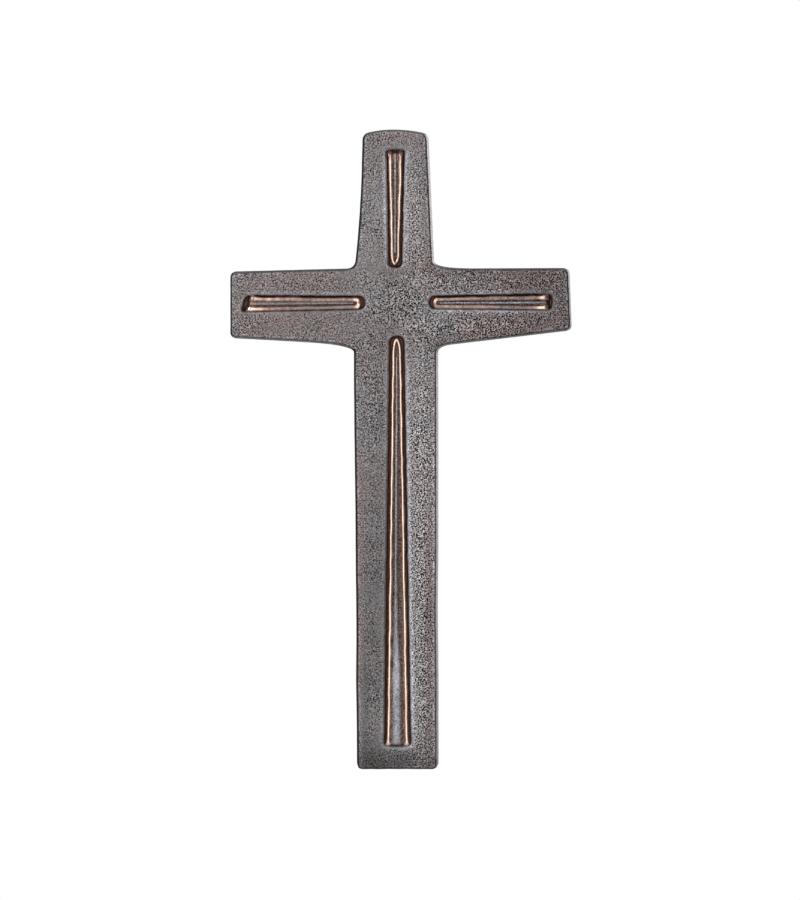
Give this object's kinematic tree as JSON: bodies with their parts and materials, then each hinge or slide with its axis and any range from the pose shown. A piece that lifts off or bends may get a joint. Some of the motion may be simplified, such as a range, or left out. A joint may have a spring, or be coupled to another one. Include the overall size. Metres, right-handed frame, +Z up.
{
  "type": "bronze memorial cross",
  "caption": "Flat cast-bronze cross for a gravestone, with flared limbs, crowned top and ribbed relief bars in recesses, fixed by its back.",
  "frame": {"origin": "on the flat back, where the upright and the arms cross", "axes": "+Z up along the upright, +Y out of the back into the stone, the front faces -Y, +X to the right as seen from the front"},
  "size_m": [0.1601, 0.0102, 0.3],
  "materials": {
    "bronze": "sand-cast bronze with a grey-brown patina, ribs polished bare"
  },
  "bodies": {
    "root": {"cross": "bronze"}
  },
  "joints": []
}
